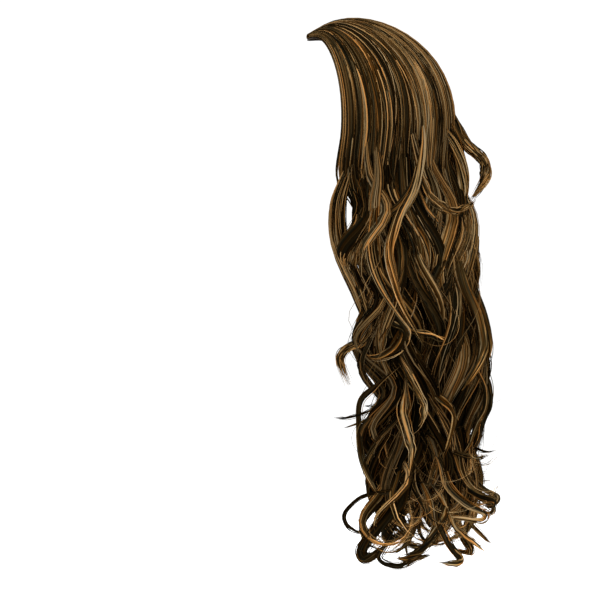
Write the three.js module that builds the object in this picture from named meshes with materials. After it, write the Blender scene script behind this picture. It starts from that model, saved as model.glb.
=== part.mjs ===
// A long, wavy half wig: a net cap for the crown and back of the head, a comb under its front edge, a
// smooth layer of hair over the cap, and locks of hair that hang from that layer's lower rim.
// Millimetres. +X is the wearer's left, +Y the back of the head and +Z up. The origin is the inside of
// the cap at the top of the head, where the wig sits.
import * as THREE from "three";
import { mergeVertices } from "three/addons/utils/BufferGeometryUtils.js";

// Head that the cap fits: an ellipsoid whose top is the origin
const HEAD = { halfWidth: 75, halfLength: 95, halfHeight: 100 };
// Front edge seen from above: an arc across the top of the head and a straight run down to each ear
const FRONT_ARC = { centreY: -25, radius: 22 };
const SIDE_EDGE_ANGLE = 52;
const RIM_Z = -150;
const HALVINGS = 40;
const CAP_WALL = 1.5;
const GAP = 0.6;
const SEAT_GAP = 0.3;
const SHELL_COLUMNS = 30;
const SHELL_ROWS = 13;

// Hair over the cap: how thick it lies at the middle of the wig and along its side edges
const CROWN = { topMiddle: 10.5, topEdge: 6.5, rimMiddle: 34, rimEdge: 14, flare: 3.6 };
const FRONT_LIP = { share: 0.5, length: 0.22 };
const CROWN_FOLDS = { count: 9, depth: 1.6 };

// Comb under the front edge: a spine and teeth that follow the inside of the cap
const COMB = { width: 42, spine: 5, thickness: 1.3, frontY: -32 };
const COMB_TEETH = { count: 11, length: 17, rootShare: 0.45, tipShare: 0.27 };

// Fall of hair below the rim, one row for each level: how much wider and deeper the ring of locks is
// than the rim, how far it hangs back from it, and how far the waves swing
const FALL = [
  { drop: 0, widen: 1.0, deepen: 1.0, back: 0, swing: 0 },
  { drop: 60, widen: 1.07, deepen: 1.02, back: 4, swing: 5 },
  { drop: 150, widen: 1.13, deepen: 1.02, back: 9, swing: 12 },
  { drop: 250, widen: 1.14, deepen: 1.0, back: 15, swing: 15 },
  { drop: 340, widen: 1.06, deepen: 0.95, back: 15, swing: 16 },
  { drop: 460, widen: 0.96, deepen: 0.92, back: 15, swing: 17 },
];
const FALL_CENTRE_Y = 62;
const WAVE = { length: 142, radialShare: 0.45, phasePerRing: 3.6 };

// Layers of hanging locks: how many, where they start across the thickness of the rim and how much of it
// they fill, which stretch of the rim they share, how long the longest are, at which point of a wave they
// start, and how far the tips turn outward
const LAYERS = [
  { name: "outer_lock", count: 14, place: 0.74, fill: 0.44, from: 0.045, to: 0.955 },
  { name: "under_lock", count: 9, place: 0.22, fill: 0.36, from: 0.16, to: 0.84 },
];
const LAYER_HANG = {
  outer_lock: { length: 440, phase: 0.4, hook: 22 },
  under_lock: { length: 412, phase: 0.6, hook: 4 },
};
const SHORTER_AT_EDGE = { by: 40, power: 6 };
const STAGGER = [0, 26, 10];
const HOOK_START = 0.8;
const LOCK_SIDES = 6;
const LOCK_STEPS = 17;
const LOCK_WAIST = { share: 0.83, reached: 0.4 };
const LOCK_TIP = { share: 0.12, power: 4 };

// Turns of the loose curls that stand clear of the fall, one row for each: the drop below the rim, and how
// far it lies along the rim and out from it
const FRONT_CURL = [
  { drop: 0, along: 0, out: 0 },
  { drop: 20, along: -13, out: 1 },
  { drop: 48, along: -26, out: 2 },
  { drop: 86, along: -24, out: 3 },
  { drop: 118, along: -16, out: 4 },
  { drop: 150, along: -2, out: 5 },
  { drop: 178, along: 11, out: 6 },
  { drop: 194, along: 3, out: 8 },
  { drop: 202, along: -16, out: 9 },
  { drop: 216, along: -27, out: 9 },
  { drop: 243, along: -17, out: 7 },
];
const BACK_FLICK = [
  { drop: -50, along: 0, out: -3.9 },
  { drop: -26, along: 0, out: 4.1 },
  { drop: -13, along: 0, out: 12 },
  { drop: 0, along: 0, out: 25 },
  { drop: 10, along: 0, out: 28 },
  { drop: 25, along: 1, out: 20 },
  { drop: 40, along: 3, out: 8 },
];
const SIDE_HOOK = [
  { drop: -24, along: -4, out: 1.65 },
  { drop: 0, along: -4, out: 5 },
  { drop: 20, along: -2, out: 8 },
  { drop: 38, along: 3, out: 11 },
  { drop: 49, along: 15, out: 12 },
  { drop: 54, along: 34, out: 8 },
  { drop: 48, along: 54, out: 1 },
  { drop: 40, along: 66, out: -5 },
];
// Loose curls: where each starts across the rim and round it, which way round its turns run, and its size
const CURLS = [
  { name: "left_front_curl", turns: FRONT_CURL, place: 0.5, around: 0.021, hand: 1, wide: 12, thick: 10 },
  { name: "right_front_curl", turns: FRONT_CURL, place: 0.5, around: 0.979, hand: -1, wide: 12, thick: 10 },
  { name: "back_flick", turns: BACK_FLICK, place: 1, around: 0.53, hand: 1, wide: 12, thick: 5 },
  { name: "side_hook", turns: SIDE_HOOK, place: 1, around: 0.25, hand: 1, wide: 10, thick: 5 },
];

const FINISHES = {
  cap: { color: 0x2b211a, roughness: 0.85 },
  comb: { color: 0x1e1a17, roughness: 0.3 },
  crown: { color: 0x4a3520, roughness: 0.45 },
  outer_lock: { color: 0x4f3822, roughness: 0.45 },
  under_lock: { color: 0x35271a, roughness: 0.45 },
};
const WELD_DISTANCE = 1e-4;

const degrees = THREE.MathUtils.degToRad;
const mix = THREE.MathUtils.lerp;
const smooth = THREE.MathUtils.smoothstep;

// Moves every vertex of a closed geometry and welds the seams, so that it stays one closed body
function reshape(geometry, place) {
  const position = geometry.getAttribute("position");
  const vertex = new THREE.Vector3();
  for (let i = 0; i < position.count; i += 1) {
    vertex.fromBufferAttribute(position, i);
    place(vertex);
    position.setXYZ(i, vertex.x, vertex.y, vertex.z);
  }
  geometry.deleteAttribute("normal");
  geometry.deleteAttribute("uv");
  const welded = mergeVertices(geometry, WELD_DISTANCE);
  welded.computeVertexNormals();
  return welded;
}

// Where a strand at a fan angle starts, seen from above, and the way it runs from there
function strandStart(fan) {
  const along = degrees(fan * ((90 - SIDE_EDGE_ANGLE) / SIDE_EDGE_ANGLE));
  const x = FRONT_ARC.radius * Math.sin(along);
  const y = FRONT_ARC.centreY - FRONT_ARC.radius * Math.cos(along);
  return new THREE.Vector3(x, y, -HEAD.halfHeight);
}

// Point over the head at a fan angle, swept from straight up, and lifted off the head
function overHead(fan, sweep, lift) {
  const start = strandStart(fan);
  const way = new THREE.Vector3().setFromSphericalCoords(1, sweep, degrees(fan));
  way.set(way.x, way.z, way.y);
  const size = new THREE.Vector3(HEAD.halfWidth, HEAD.halfLength, HEAD.halfHeight);
  const from = start.clone().setZ(0).divide(size);
  const step = way.clone().divide(size);
  const a = step.lengthSq();
  const b = from.dot(step);
  const reach = (-b + Math.sqrt(b * b + a * (1 - from.lengthSq()))) / a;
  return start.addScaledVector(way, reach + lift);
}

// Sweep at which the layer lifted by liftAt reaches the level of the rim, found by halving
function rimSweep(fan, liftAt) {
  let low = 0;
  let high = Math.PI;
  for (let i = 0; i < HALVINGS; i += 1) {
    const middle = (low + high) / 2;
    if (overHead(fan, middle, liftAt(fan, 1)).z > RIM_Z) {
      low = middle;
    } else {
      high = middle;
    }
  }
  return low;
}

// Lift of each layer off the head, at a fan angle and a share of the way from front edge to rim
const capInside = () => 0;
const capOutside = () => CAP_WALL;
const hairInside = () => CAP_WALL + GAP;
function hairOutside(fan, share) {
  const edge = (fan / SIDE_EDGE_ANGLE) ** 2;
  const top = mix(CROWN.topMiddle, CROWN.topEdge, edge);
  const rim = mix(CROWN.rimMiddle, CROWN.rimEdge, edge) * share ** CROWN.flare;
  const lip = mix(FRONT_LIP.share, 1, smooth(share, 0, FRONT_LIP.length));
  const fold = CROWN_FOLDS.depth * share * Math.cos(degrees(fan * CROWN_FOLDS.count));
  return hairInside() + (top + rim + fold) * lip;
}

// Shell over the head between two layers: a slab of columns and rows bent over the head
function headShell(inside, outside) {
  const slab = new THREE.BoxGeometry(1, 1, 1, SHELL_COLUMNS, SHELL_ROWS, 1);
  return reshape(slab, (vertex) => {
    const fan = vertex.x * 2 * SIDE_EDGE_ANGLE;
    const share = 0.5 + vertex.y;
    const liftAt = vertex.z > 0 ? outside : inside;
    vertex.copy(overHead(fan, share * rimSweep(fan, liftAt), liftAt(fan, share)));
  });
}

// Comb, drawn flat and bent to follow the inside of the cap
function comb() {
  const pitch = COMB.width / COMB_TEETH.count;
  const root = (pitch * COMB_TEETH.rootShare) / 2;
  const tip = (pitch * COMB_TEETH.tipShare) / 2;
  const end = COMB.spine + COMB_TEETH.length;
  const outline = new THREE.Shape();
  outline.moveTo(-COMB.width / 2, 0);
  for (let i = 1; i <= COMB_TEETH.count; i += 1) {
    outline.lineTo(-COMB.width / 2 + i * pitch, 0);
  }
  for (let i = COMB_TEETH.count - 1; i >= 0; i -= 1) {
    const middle = -COMB.width / 2 + (i + 0.5) * pitch;
    outline.lineTo(middle + root, COMB.spine);
    outline.lineTo(middle + tip, end);
    outline.lineTo(middle - tip, end);
    outline.lineTo(middle - root, COMB.spine);
  }
  outline.closePath();
  const flat = new THREE.ExtrudeGeometry(outline, { depth: COMB.thickness, bevelEnabled: false });
  return reshape(flat, (vertex) => {
    const inset = GAP + COMB.thickness - vertex.z;
    const y = COMB.frontY + vertex.y;
    const across = vertex.x / (HEAD.halfWidth - inset);
    const along = y / (HEAD.halfLength - inset);
    const height = (HEAD.halfHeight - inset) * Math.sqrt(1 - across * across - along * along);
    vertex.set(vertex.x, y, height - HEAD.halfHeight);
  });
}

// Row of the fall at a drop below the rim, eased between the rows of the table
function fallAt(drop) {
  const next = Math.max(1, FALL.findIndex((row) => row.drop >= drop));
  const above = FALL[next - 1];
  const below = FALL[next];
  const share = smooth(drop, above.drop, below.drop);
  return {
    widen: mix(above.widen, below.widen, share),
    deepen: mix(above.deepen, below.deepen, share),
    back: mix(above.back, below.back, share),
    swing: mix(above.swing, below.swing, share),
  };
}

// Curve round the rim, from the left edge to the right, at a share of the rim's thickness
function rimCurve(place) {
  const points = [];
  for (let i = 0; i <= SHELL_COLUMNS; i += 1) {
    const fan = mix(SIDE_EDGE_ANGLE, -SIDE_EDGE_ANGLE, i / SHELL_COLUMNS);
    const inner = overHead(fan, rimSweep(fan, hairInside), hairInside());
    const outer = overHead(fan, rimSweep(fan, hairOutside), hairOutside(fan, 1));
    points.push(inner.lerp(outer, place));
  }
  return new THREE.CatmullRomCurve3(points);
}

// Thickness of the rim at a share of the way round it
const INNER_RIM = rimCurve(0);
const OUTER_RIM = rimCurve(1);
function rimThickness(around) {
  return INNER_RIM.getPointAt(around).distanceTo(OUTER_RIM.getPointAt(around));
}

// Place on the fall at a drop below the rim, moved along the rim and out from it
function onFall(ring, around, drop, alongBy, outBy) {
  const root = ring.getPointAt(around);
  const along = ring.getTangentAt(around).setZ(0).normalize();
  const out = new THREE.Vector3(along.y, -along.x, 0);
  const row = fallAt(Math.max(0, drop));
  const x = root.x * row.widen;
  const y = FALL_CENTRE_Y + (root.y - FALL_CENTRE_Y) * row.deepen + row.back;
  const place = new THREE.Vector3(x, y, RIM_Z - SEAT_GAP - drop);
  return place.addScaledVector(along, alongBy).addScaledVector(out, outBy);
}

// Lock of hair: a round bar bent along its route, which leaves the rim straight down and thins to its tip
function lock(route, along, wide, thick) {
  const curve = new THREE.CatmullRomCurve3(route);
  const sections = [];
  let across = along.clone().setZ(0);
  for (let i = 0; i <= LOCK_STEPS; i += 1) {
    const share = i / LOCK_STEPS;
    const way = i === 0 ? new THREE.Vector3(0, 0, -1) : curve.getTangentAt(share);
    across = across.clone().addScaledVector(way, -across.dot(way)).normalize();
    const out = new THREE.Vector3().crossVectors(way, across);
    sections.push({ middle: curve.getPointAt(share), across, out });
  }
  const bar = new THREE.CylinderGeometry(1, 1, 1, LOCK_SIDES, LOCK_STEPS);
  return reshape(bar, (vertex) => {
    const share = 0.5 - vertex.y;
    const { middle, across: side, out } = sections[Math.round(share * LOCK_STEPS)];
    const waist = mix(1, LOCK_WAIST.share, smooth(share, 0, LOCK_WAIST.reached));
    const thin = waist * mix(1, LOCK_TIP.share, share ** LOCK_TIP.power);
    const place = middle.clone().addScaledVector(side, (-vertex.z * wide * thin) / 2);
    vertex.copy(place.addScaledVector(out, (vertex.x * thick * thin) / 2));
  });
}

// Hanging lock of a layer: it swings in waves that grow on the way down, and its tip turns outward
function hangingLock(layer, ring, index) {
  const hang = LAYER_HANG[layer.name];
  const around = mix(layer.from, layer.to, (index + 0.5) / layer.count);
  const spacing = (ring.getLength() * (layer.to - layer.from)) / layer.count;
  const edge = Math.abs(2 * around - 1) ** SHORTER_AT_EDGE.power;
  const length = hang.length - SHORTER_AT_EDGE.by * edge - STAGGER[index % STAGGER.length];
  const route = [];
  for (let i = 0; i <= LOCK_STEPS; i += 1) {
    const share = i / LOCK_STEPS;
    const drop = share * length;
    const { swing } = fallAt(drop);
    const turn = (2 * Math.PI * drop) / WAVE.length + hang.phase + WAVE.phasePerRing * around;
    const hook = hang.hook * smooth(share, HOOK_START, 1) ** 2;
    const outBy = swing * WAVE.radialShare * Math.cos(turn) + hook;
    route.push(onFall(ring, around, drop, swing * Math.sin(turn), outBy));
  }
  return lock(route, ring.getTangentAt(around), spacing - GAP, rimThickness(around) * layer.fill);
}

// Loose curl that follows its own turns
function looseCurl(curl) {
  const ring = rimCurve(curl.place);
  const turnAt = (row) => onFall(ring, curl.around, row.drop, curl.hand * row.along, row.out);
  return lock(curl.turns.map(turnAt), ring.getTangentAt(curl.around), curl.wide, curl.thick);
}

const wig = new THREE.Group();

function addPiece(name, geometry, finish) {
  const mesh = new THREE.Mesh(geometry, new THREE.MeshStandardMaterial({ ...finish, metalness: 0 }));
  mesh.name = name;
  wig.add(mesh);
}

addPiece("cap", headShell(capInside, capOutside), FINISHES.cap);
addPiece("front_comb", comb(), FINISHES.comb);
addPiece("crown_hair", headShell(hairInside, hairOutside), FINISHES.crown);
for (const layer of LAYERS) {
  const ring = rimCurve(layer.place);
  for (let i = 0; i < layer.count; i += 1) {
    const name = `${layer.name}_${String(i + 1).padStart(2, "0")}`;
    addPiece(name, hangingLock(layer, ring, i), FINISHES[layer.name]);
  }
}
for (const curl of CURLS) {
  addPiece(curl.name, looseCurl(curl), FINISHES.outer_lock);
}

export default wig;
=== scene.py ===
import bpy
import numpy as np
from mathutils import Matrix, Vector


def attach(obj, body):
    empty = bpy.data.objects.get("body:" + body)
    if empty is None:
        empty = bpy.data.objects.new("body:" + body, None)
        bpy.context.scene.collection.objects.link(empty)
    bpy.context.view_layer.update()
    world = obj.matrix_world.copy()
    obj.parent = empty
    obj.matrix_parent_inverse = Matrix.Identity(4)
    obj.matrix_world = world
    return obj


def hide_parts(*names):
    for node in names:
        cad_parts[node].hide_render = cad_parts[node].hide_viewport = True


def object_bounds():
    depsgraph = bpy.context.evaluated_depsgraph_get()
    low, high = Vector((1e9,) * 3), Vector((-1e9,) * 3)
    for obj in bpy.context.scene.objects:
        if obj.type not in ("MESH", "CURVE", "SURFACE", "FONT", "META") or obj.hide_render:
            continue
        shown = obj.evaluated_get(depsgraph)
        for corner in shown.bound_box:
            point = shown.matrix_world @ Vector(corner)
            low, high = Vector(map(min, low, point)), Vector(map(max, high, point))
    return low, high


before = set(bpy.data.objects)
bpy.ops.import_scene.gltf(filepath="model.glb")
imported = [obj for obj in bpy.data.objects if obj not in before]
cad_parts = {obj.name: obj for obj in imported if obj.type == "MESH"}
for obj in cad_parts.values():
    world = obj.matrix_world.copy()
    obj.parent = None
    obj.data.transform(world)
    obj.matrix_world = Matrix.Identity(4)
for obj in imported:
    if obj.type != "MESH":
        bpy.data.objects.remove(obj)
cad_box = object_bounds()
bpy.ops.object.select_all(action="DESELECT")

# Cap
# The cap is an open net of dark elastic thread, cut to the crown and back of the head. A band of the
# same thread binds its edge, and straps run over it from front to nape, to which the hair is sewn.
HEAD_HALF = np.array([0.075, 0.095, 0.100])
FRONT_ARC_Y = -0.025
FRONT_ARC_RADIUS = 0.022
SIDE_EDGE_ANGLE = 52.0
RIM_Z = -0.150
CAP_WALL = 0.0015
CAP_COLUMNS = 38
CAP_ROWS = 27
CAP_STRAP_EVERY = 6
CAP_STRAP_FIRST = 2
CAP_WEFT_EVERY = 3
NET_THREAD = 0.0006
NET_EDGE = 0.975
BINDING_RADIUS = 0.0007
WEFT_RADIUS = 0.8 * BINDING_RADIUS
RIM_HALVINGS = 32
NET_COLOURS = [(0, (0.010, 0.007, 0.005)), (1, (0.045, 0.031, 0.021))]
NET_FIBRE_SCALE = 900
NET_BUMP = {"Strength": 0.4, "Distance": 0.0003}
NET_ROUGHNESS = 0.75
NET_SPECULAR = 0.1


def over_head(fan, sweep, lift):
    """Point on the strand line at a fan angle, swept from straight up and lifted off the head."""
    start_turn = np.radians(fan * (90 - SIDE_EDGE_ANGLE) / SIDE_EDGE_ANGLE)
    start_x = FRONT_ARC_RADIUS * np.sin(start_turn)
    start_y = FRONT_ARC_Y - FRONT_ARC_RADIUS * np.cos(start_turn)
    start = np.stack([start_x, start_y, np.zeros_like(start_x)], -1)
    turn = np.radians(fan)
    level = np.sin(sweep)
    way = np.stack([level * np.sin(turn), level * np.cos(turn), np.cos(sweep)], -1)
    a = ((way / HEAD_HALF) ** 2).sum(-1)
    b = (start * way / HEAD_HALF ** 2).sum(-1)
    c = 1 - ((start / HEAD_HALF) ** 2).sum(-1)
    reach = (np.sqrt(b * b + a * c) - b) / a
    return start + way * (reach + lift)[..., None] - np.array([0, 0, HEAD_HALF[2]])


def rim_sweep(fan, lift):
    """Sweep at which the layer with that lift comes down to the level of the rim, found by halving."""
    low = np.zeros_like(fan)
    high = np.full_like(fan, np.pi)
    for _ in range(RIM_HALVINGS):
        middle = (low + high) / 2
        above = over_head(fan, middle, lift)[..., 2] > RIM_Z
        low = np.where(above, middle, low)
        high = np.where(above, high, middle)
    return low


def flat_grid(name, columns, rows):
    """A flat grid, and where its points lie: across it from -1 to 1, and from front edge (0) to rim (1)."""
    bpy.ops.object.select_all(action="DESELECT")
    bpy.ops.mesh.primitive_grid_add(x_subdivisions=columns, y_subdivisions=rows, size=2)
    grid = bpy.context.object
    grid.name = name
    flat = np.zeros(len(grid.data.vertices) * 3)
    grid.data.vertices.foreach_get("co", flat)
    flat = flat.reshape(-1, 3)
    return grid, flat[:, 0], (flat[:, 1] + 1) / 2


def lay_grid(grid, places):
    """Lays the points of a flat grid at their places over the head."""
    grid.data.vertices.foreach_set("co", places.ravel())
    grid.data.update()


def thread_along(grid, chosen, name, radius):
    """A round thread along the chosen edges of the grid."""
    bpy.ops.object.select_all(action="DESELECT")
    thread = grid.copy()
    thread.data = grid.data.copy()
    thread.name = name
    bpy.context.collection.objects.link(thread)
    bpy.context.view_layer.objects.active = thread
    thread.select_set(True)
    bpy.ops.object.mode_set(mode="EDIT")
    bpy.ops.mesh.select_mode(type="EDGE")
    bpy.ops.mesh.select_all(action="DESELECT")
    bpy.ops.object.mode_set(mode="OBJECT")
    for edge in thread.data.edges:
        edge.select = not chosen(*edge.vertices)
    bpy.ops.object.mode_set(mode="EDIT")
    bpy.ops.mesh.delete(type="EDGE_FACE")
    bpy.ops.object.mode_set(mode="OBJECT")
    bpy.ops.object.convert(target="CURVE")
    thread.data.bevel_depth = radius
    thread.data.bevel_resolution = 1
    thread.data.use_fill_caps = True
    bpy.ops.object.convert(target="MESH")
    return thread


class Finish:
    """A material in the making, with the nodes that the finishes of the pieces share."""

    def __init__(self, name, specular):
        self.material = bpy.data.materials.new(name)
        self.material.use_nodes = True
        self.tree = self.material.node_tree
        self.shader = self.tree.nodes["Principled BSDF"]
        self.fill(self.shader, {"Specular IOR Level": specular})

    def fill(self, node, sockets):
        """Sets sockets to values, and links those that are given another node's output."""
        for name, value in sockets.items():
            if isinstance(value, bpy.types.NodeSocket):
                self.tree.links.new(value, node.inputs[name])
            else:
                node.inputs[name].default_value = value

    def node(self, kind, sockets, **settings):
        """Outputs of a new node."""
        node = self.tree.nodes.new(f"ShaderNode{kind}")
        for name, value in settings.items():
            setattr(node, name, value)
        self.fill(node, sockets)
        return node.outputs

    def ramp(self, level, stops):
        """Colour at a level, from a ramp through a few colours that each have their place."""
        colour = self.node("ValToRGB", {"Fac": level})["Color"]
        elements = colour.node.color_ramp.elements
        for element, (at, tone) in zip(elements, (stops[0], stops[-1])):
            element.position = at
            element.color = (*tone, 1)
        for at, tone in stops[1:-1]:
            elements.new(at).color = (*tone, 1)
        return colour

    def rough(self, level, low, high):
        """Roughness between two values at a level."""
        return self.node("MapRange", {"Value": level, "To Min": low, "To Max": high})["Result"]

    def bump(self, height, size):
        """Normals bent by a height."""
        return self.node("Bump", {"Height": height, **size})["Normal"]


def net_finish():
    """Dark knitted thread, a little lighter where it is stretched."""
    finish = Finish("cap_net_thread", NET_SPECULAR)
    place = finish.node("TexCoord", {})["Object"]
    fibre = finish.node("TexNoise", {"Vector": place, "Scale": NET_FIBRE_SCALE})["Fac"]
    finish.fill(finish.shader, {
        "Base Color": finish.ramp(fibre, NET_COLOURS),
        "Normal": finish.bump(fibre, NET_BUMP),
        "Roughness": NET_ROUGHNESS,
    })
    return finish.material


net, net_across, net_down = flat_grid("cap_net", CAP_COLUMNS, CAP_ROWS)
net_fan = net_across * SIDE_EDGE_ANGLE * NET_EDGE
net_lift = np.full_like(net_fan, CAP_WALL / 2)
lay_grid(net, over_head(net_fan, net_down * NET_EDGE * rim_sweep(net_fan, net_lift), net_lift))
net_column = np.rint((net_across + 1) / 2 * CAP_COLUMNS)
net_row = np.rint(net_down * CAP_ROWS)
at_side = net_column % CAP_COLUMNS == 0
at_end = net_row % CAP_ROWS == 0
binding = thread_along(
    net,
    lambda a, b: (at_side[a] and at_side[b]) or (at_end[a] and at_end[b]),
    "cap_binding", BINDING_RADIUS)
straps = thread_along(
    net,
    lambda a, b: net_column[a] == net_column[b] and net_column[a] % CAP_STRAP_EVERY == CAP_STRAP_FIRST,
    "cap_straps", BINDING_RADIUS)
wefts = thread_along(
    net,
    lambda a, b: net_row[a] == net_row[b] and net_row[a] % CAP_WEFT_EVERY == 0,
    "cap_wefts", WEFT_RADIUS)
bpy.ops.object.select_all(action="DESELECT")
net.select_set(True)
bpy.context.view_layer.objects.active = net
wire = net.modifiers.new("thread", "WIREFRAME")
wire.thickness = NET_THREAD
wire.use_even_offset = False
bpy.ops.object.modifier_apply(modifier=wire.name)
for strip in (binding, straps, wefts):
    strip.select_set(True)
bpy.ops.object.join()
bpy.ops.object.shade_smooth()
net.data.materials.clear()
net.data.materials.append(net_finish())
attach(net, "root")
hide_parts("cap")

# Comb
# A moulded plastic comb is sewn under the middle of the front edge. Its teeth slide into the wearer's
# own hair and hold the front of the wig down.
COMB_COLOURS = [(0, (0.012, 0.008, 0.006)), (1, (0.030, 0.019, 0.012))]
COMB_FLOW_SCALE = 120
COMB_ROUGHNESS = (0.28, 0.42)
COMB_SPECULAR = 0.2


def comb_finish():
    """Smooth dark brown plastic with faint flow marks from the mould."""
    finish = Finish("comb_plastic", COMB_SPECULAR)
    place = finish.node("TexCoord", {})["Object"]
    flow = finish.node("TexNoise", {"Vector": place, "Scale": COMB_FLOW_SCALE})["Fac"]
    finish.fill(finish.shader, {
        "Base Color": finish.ramp(flow, COMB_COLOURS),
        "Roughness": finish.rough(flow, *COMB_ROUGHNESS),
    })
    return finish.material


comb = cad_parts["front_comb"]
comb.data.materials.clear()
comb.data.materials.append(comb_finish())

# Crown hair
# Rows of glossy synthetic hair are sewn to the net from the front edge back, and lie over one another.
# They roll over the front edge, fan back and down over the cap, and hide its rim and the locks' roots.
CAP_GAP = 0.0006
CROWN_TOP = (0.0105, 0.0065)
CROWN_RIM = (0.034, 0.014)
CROWN_FLARE = 3.6
FRONT_LIP_SHARE = 0.5
FRONT_LIP_LENGTH = 0.22
CROWN_FOLDS = 9
CROWN_FOLD_DEPTH = 0.0016
# Fall of the hair below the rim: drop, then how much wider, deeper and further back it hangs, and swing
FALL = np.array([
    [0.000, 1.00, 1.00, 0.000, 0.005],
    [0.060, 1.07, 1.02, 0.004, 0.015],
    [0.150, 1.13, 1.02, 0.009, 0.019],
    [0.250, 1.14, 1.00, 0.015, 0.020],
    [0.340, 1.06, 0.95, 0.015, 0.020],
    [0.460, 0.96, 0.92, 0.015, 0.018],
])
FALL_CENTRE_Y = 0.062
LENGTH_SAMPLES = 25
BESIDE_FAN = 0.5
TINY = 1e-9
BOX_MARGIN = 0.009
HAIR_SEED = 11
random = np.random.default_rng(HAIR_SEED)


def ease(x, low, high):
    """Share of the way from low to high, slow at both ends."""
    share = np.clip((x - low) / (high - low), 0, 1)
    return share * share * (3 - 2 * share)


def mix(a, b, share):
    """A value that share of the way from a to b."""
    return a + (b - a) * share


def unit(v):
    """Vectors brought to a length of one."""
    return v / np.maximum(np.linalg.norm(v, axis=-1, keepdims=True), TINY)


def between(low, high, *shape):
    """Random values between two limits."""
    return mix(low, high, random.random(shape))


def crown_lift(fan, share):
    """How far the outside of the hair lies off the head, from the front edge (0) to the rim (1)."""
    edge = (fan / SIDE_EDGE_ANGLE) ** 2
    rim = mix(*CROWN_RIM, edge) * np.maximum(share, 0) ** CROWN_FLARE
    fold = CROWN_FOLD_DEPTH * share * np.cos(np.radians(fan * CROWN_FOLDS))
    lip = mix(FRONT_LIP_SHARE, 1, ease(share, 0, FRONT_LIP_LENGTH))
    return CAP_WALL + CAP_GAP + (mix(*CROWN_TOP, edge) + rim + fold) * lip


def crown_point(fan, share, depth):
    """Point in the crown hair, from its inside (depth 0) to its outside (depth 1)."""
    inside = CAP_WALL + CAP_GAP
    rim_lift = mix(inside, crown_lift(fan, 1.0), depth)
    return over_head(fan, share * rim_sweep(fan, rim_lift), mix(inside, crown_lift(fan, share), depth))


def fall_row(drop):
    """Widen, deepen, back and swing of the fall at a drop below the rim."""
    drop = np.clip(drop, 0, FALL[-1, 0])
    below = np.clip(np.searchsorted(FALL[:, 0], drop, side="left"), 1, len(FALL) - 1)
    share = ease(drop, FALL[below - 1, 0], FALL[below, 0])[..., None]
    return np.moveaxis(mix(FALL[below - 1, 1:], FALL[below, 1:], share), -1, 0)


def smooth_path(path, rounds):
    """Rounds off the bends of lines, with their ends kept where they are."""
    for _ in range(rounds):
        path[:, 1:-1] = (path[:, :-2] + 2 * path[:, 1:-1] + path[:, 2:]) / 4
    return path


def crown_length(fan, depth):
    """Length of each strand line from the front edge to the rim."""
    sample = np.linspace(0, 1, LENGTH_SAMPLES)[None, :] + 0 * fan[:, None]
    line = crown_point(fan[:, None] + 0 * sample, sample, depth[:, None] + 0 * sample)
    return np.linalg.norm(np.diff(line, axis=1), axis=-1).sum(1)[:, None]


def hair_path(fan, depth, run, sideways, outward):
    """Strand lines that lie on the crown where run is negative and hang below the rim elsewhere.

    fan holds one number a strand, and depth, run, sideways and outward one for each of its points.
    """
    fans = fan[:, None] + 0 * run
    rim = crown_point(fans, np.ones_like(fans), depth)
    crown = crown_point(fans, np.clip(1 + run / crown_length(fan, depth[:, -1]), 0, 1), depth)
    beside = crown_point(fan - BESIDE_FAN, np.ones_like(fan), depth[:, -1])
    along = unit((beside - rim[:, -1]) * np.array([1, 1, 0]))
    drop = np.maximum(run, 0)
    widen, deepen, back, _ = fall_row(drop)
    hang_y = FALL_CENTRE_Y + (rim[..., 1] - FALL_CENTRE_Y) * deepen + back
    hang = np.stack([rim[..., 0] * widen, hang_y, rim[..., 2] - drop], -1)
    path = np.where((run < 0)[..., None], crown, hang)
    path = path + along[:, None] * sideways[..., None] + level_out(along)[:, None] * outward[..., None]
    return path, along


def level_out(along):
    """The level way out of the fall, square to the way along the rim."""
    return np.stack([along[..., 1], -along[..., 0], 0 * along[..., 0]], -1)


# Each lock is set in waves of its own: where they start, how long and wide they are, and how they coil
LOCK_COUNT = 14
LOCK_ENDS = (0.045, 0.955)
LOCK_WAVE = (0.122, 0.168)
LOCK_SWING = (0.75, 1.2)
LOCK_COIL = 0.55
WAVE_START = (-0.03, 0.04)
FRONT_LOCK_PHASE = -1.9
FRONT_LOCK_WAVE = 0.10
FRONT_LOCK_SWING = 0.95
lock_phase = between(0, 2 * np.pi, LOCK_COUNT)
lock_phase[[0, -1]] = FRONT_LOCK_PHASE, np.pi + FRONT_LOCK_PHASE
lock_wave = between(*LOCK_WAVE, LOCK_COUNT)
lock_wave[[0, -1]] = FRONT_LOCK_WAVE
lock_swing = between(*LOCK_SWING, LOCK_COUNT)
lock_swing[[0, -1]] = FRONT_LOCK_SWING
lock_coil = LOCK_COIL * np.sign(random.random(LOCK_COUNT) - 0.5)


def lock_at(around):
    """Number of the lock at a share of the way round the rim, and how far off its middle that is."""
    place = (around - LOCK_ENDS[0]) / (LOCK_ENDS[1] - LOCK_ENDS[0]) * LOCK_COUNT
    lock = np.clip(np.floor(place).astype(int), 0, LOCK_COUNT - 1)
    return lock, np.clip(place - lock - 0.5, -0.5, 0.5)


def set_waves(around, drop, jitter):
    """Swing along the rim and out of it of hair that hangs in the waves of its lock."""
    lock, _ = lock_at(around)
    turn = 2 * np.pi * drop / lock_wave[lock] + lock_phase[lock] + jitter
    swing = fall_row(drop)[3] * lock_swing[lock] * ease(drop, *WAVE_START)
    return swing * np.sin(turn), lock_coil[lock] * swing * np.cos(turn)


def in_box(points):
    """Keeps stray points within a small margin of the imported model's box."""
    low, high = np.array(cad_box[0]), np.array(cad_box[1])
    over = np.maximum(points - high, 0)
    under = np.maximum(low - points, 0)
    inside = np.clip(points, low, high)
    return inside + BOX_MARGIN * (np.tanh(over / BOX_MARGIN) - np.tanh(under / BOX_MARGIN))


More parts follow.
